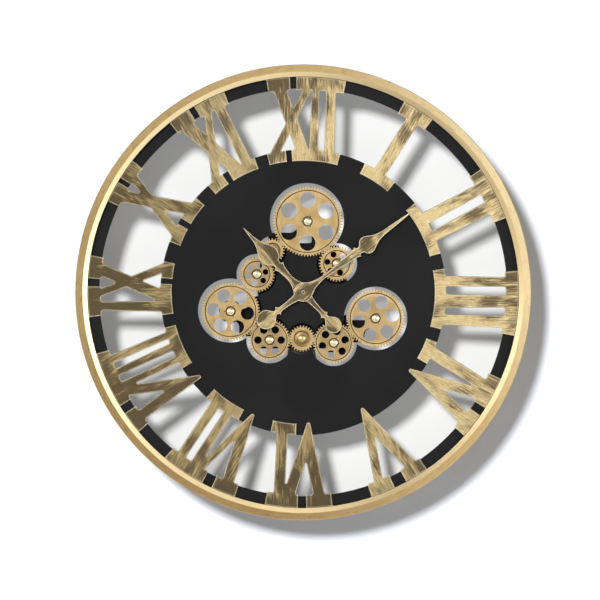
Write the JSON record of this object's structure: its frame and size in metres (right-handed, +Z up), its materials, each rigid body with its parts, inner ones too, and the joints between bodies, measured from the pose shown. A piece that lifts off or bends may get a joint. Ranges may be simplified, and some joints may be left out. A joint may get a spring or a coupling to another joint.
{
  "type": "skeleton wall clock",
  "caption": "Round openwork wall clock: deep gold ring, black dial plates, open roman numerals, ornate hands and a cluster of meshed turning gears.",
  "frame": {"origin": "on the arbor axis, half way through the clock's depth: the wall is the plane y = +30 mm and the foremost surface is y = -30 mm", "axes": "+Z up to twelve o'clock, the dial faces -Y, +X is to the right of someone reading the clock"},
  "size_m": [0.6, 0.06, 0.6],
  "materials": {
    "ring_gold": "satin gold lacquer",
    "antique_gold": "antique gold with brushed dark patina and worn light edges",
    "gear_gold": "satin warm gold",
    "pin_brass": "polished pale brass",
    "brass_part": "turned brass",
    "black_steel": "matte black powder coat",
    "zinc_steel": "zinc plated",
    "black_plastic": "spark-eroded black",
    "white_plastic": "natural acetal",
    "grey_plastic": "moulded grey",
    "cell_jacket": "plain printed-free jacket",
    "wire_red": "insulated wire",
    "board_green": "circuit board"
  },
  "bodies": {
    "frame": {"numeral_01": "antique_gold", "numeral_02": "antique_gold", "numeral_03": "antique_gold", "numeral_04": "antique_gold", "numeral_05": "antique_gold", "numeral_06": "antique_gold", "numeral_07": "antique_gold", "numeral_08": "antique_gold", "numeral_09": "antique_gold", "numeral_10": "antique_gold", "numeral_11": "antique_gold", "numeral_12": "antique_gold", "outer_ring": "ring_gold", "chapter_ring": "black_steel", "dial_disc": "black_steel", "gear_plate": "black_steel", "plate_standoffs": "zinc_steel", "pan_screws": "zinc_steel", "gear_axles": "zinc_steel", "axle_caps": "pin_brass", "motor_case": "black_plastic", "motor_cover": "black_plastic", "motor_can": "zinc_steel", "output_bush": "brass_part", "battery_box": "black_plastic", "motor_cells": "cell_jacket", "battery_contacts": "zinc_steel", "switch_body": "black_plastic", "motor_leads": "wire_red", "movement_front_case": "black_plastic", "movement_back_case": "black_plastic", "movement_cell": "cell_jacket", "circuit_board": "board_green", "threaded_bush": "brass_part", "bush_washer": "zinc_steel", "bush_nut": "brass_part", "ring_brackets": "black_steel", "hanger_plate": "zinc_steel"},
    "gear_top_body": {"gear_top": "gear_gold"},
    "gear_upper_right_body": {"gear_upper_right": "gear_gold"},
    "gear_upper_left_body": {"gear_upper_left": "gear_gold"},
    "gear_middle_left_body": {"gear_middle_left": "gear_gold"},
    "gear_left_body": {"gear_left": "gear_gold"},
    "gear_lower_left_body": {"gear_lower_left": "gear_gold"},
    "gear_bottom_body": {"gear_bottom": "gear_gold", "output_shaft": "zinc_steel", "output_wheel": "white_plastic", "drive_cap": "pin_brass"},
    "gear_lower_right_body": {"gear_lower_right": "gear_gold"},
    "gear_right_body": {"gear_right": "gear_gold"},
    "motor_rotor_body": {"motor_rotor": "zinc_steel"},
    "minute_hand_body": {"minute_arbor": "brass_part", "minute_hand": "antique_gold", "hand_cap_nut": "antique_gold"},
    "hour_hand_body": {"hour_wheel": "white_plastic", "hour_hand": "antique_gold"},
    "minute_wheel_body": {"minute_wheel": "white_plastic", "setting_knob": "grey_plastic"},
    "switch_knob_body": {"switch_knob": "white_plastic"},
    "battery_cover_body": {"battery_cover": "black_plastic"}
  },
  "joints": [
    {"name": "gear_top_spin", "type": "hinge", "parent": "frame", "child": "gear_top_body", "pos_m": [0.0058, 0, 0.0934], "axis": [0, 1, 0], "continuous": true},
    {"name": "gear_upper_right_spin", "type": "hinge", "parent": "frame", "child": "gear_upper_right_body", "pos_m": [0.04423, 0, 0.03791], "axis": [0, 1, 0], "continuous": true},
    {"name": "gear_upper_left_spin", "type": "hinge", "parent": "frame", "child": "gear_upper_left_body", "pos_m": [-0.04043, 0, 0.05515], "axis": [0, 1, 0], "continuous": true},
    {"name": "gear_middle_left_spin", "type": "hinge", "parent": "frame", "child": "gear_middle_left_body", "pos_m": [-0.06102, 0, 0.02381], "axis": [0, 1, 0], "continuous": true},
    {"name": "gear_left_spin", "type": "hinge", "parent": "frame", "child": "gear_left_body", "pos_m": [-0.09569, 0, -0.02516], "axis": [0, 1, 0], "continuous": true},
    {"name": "gear_lower_left_spin", "type": "hinge", "parent": "frame", "child": "gear_lower_left_body", "pos_m": [-0.04431, 0, -0.0629], "axis": [0, 1, 0], "continuous": true},
    {"name": "gear_bottom_spin", "type": "hinge", "parent": "frame", "child": "gear_bottom_body", "pos_m": [-0.00186, 0, -0.06097], "axis": [0, 1, 0], "continuous": true},
    {"name": "gear_lower_right_spin", "type": "hinge", "parent": "frame", "child": "gear_lower_right_body", "pos_m": [0.04027, 0, -0.06659], "axis": [0, 1, 0], "continuous": true},
    {"name": "gear_right_spin", "type": "hinge", "parent": "frame", "child": "gear_right_body", "pos_m": [0.09531, 0, -0.03443], "axis": [0, 1, 0], "continuous": true},
    {"name": "motor_rotor_spin", "type": "hinge", "parent": "frame", "child": "motor_rotor_body", "pos_m": [-0.00186, 0, -0.07897], "axis": [0, 1, 0], "continuous": true},
    {"name": "minute_hand_turn", "type": "hinge", "parent": "frame", "child": "minute_hand_body", "pos_m": [0, 0, 0], "axis": [0, 1, 0], "continuous": true},
    {"name": "hour_hand_turn", "type": "hinge", "parent": "frame", "child": "hour_hand_body", "pos_m": [0, 0, 0], "axis": [0, 1, 0], "continuous": true},
    {"name": "minute_wheel_turn", "type": "hinge", "parent": "frame", "child": "minute_wheel_body", "pos_m": [0, 0, -0.012], "axis": [0, 1, 0], "continuous": true},
    {"name": "switch_slide", "type": "slide", "parent": "frame", "child": "switch_knob_body", "axis": [0, 0, 1], "range_m": [0, 0.004]},
    {"name": "battery_cover_slide", "type": "slide", "parent": "frame", "child": "battery_cover_body", "axis": [1, 0, 0], "range_m": [0, 0.055]}
  ],
  "couplings": [
    {"joint": "gear_upper_right_spin", "follows": "gear_top_spin", "ratio": -2},
    {"joint": "gear_upper_left_spin", "follows": "gear_top_spin", "ratio": -3},
    {"joint": "gear_middle_left_spin", "follows": "gear_top_spin", "ratio": 2},
    {"joint": "gear_left_spin", "follows": "gear_top_spin", "ratio": -1.2},
    {"joint": "gear_lower_left_spin", "follows": "gear_top_spin", "ratio": 1.7143},
    {"joint": "gear_bottom_spin", "follows": "gear_top_spin", "ratio": -2.7692},
    {"joint": "gear_lower_right_spin", "follows": "gear_top_spin", "ratio": 1.7143},
    {"joint": "gear_right_spin", "follows": "gear_top_spin", "ratio": -1.2},
    {"joint": "motor_rotor_spin", "follows": "gear_top_spin", "ratio": 13.846},
    {"joint": "minute_wheel_turn", "follows": "minute_hand_turn", "ratio": -0.33333},
    {"joint": "hour_hand_turn", "follows": "minute_hand_turn", "ratio": 0.083333}
  ]
}
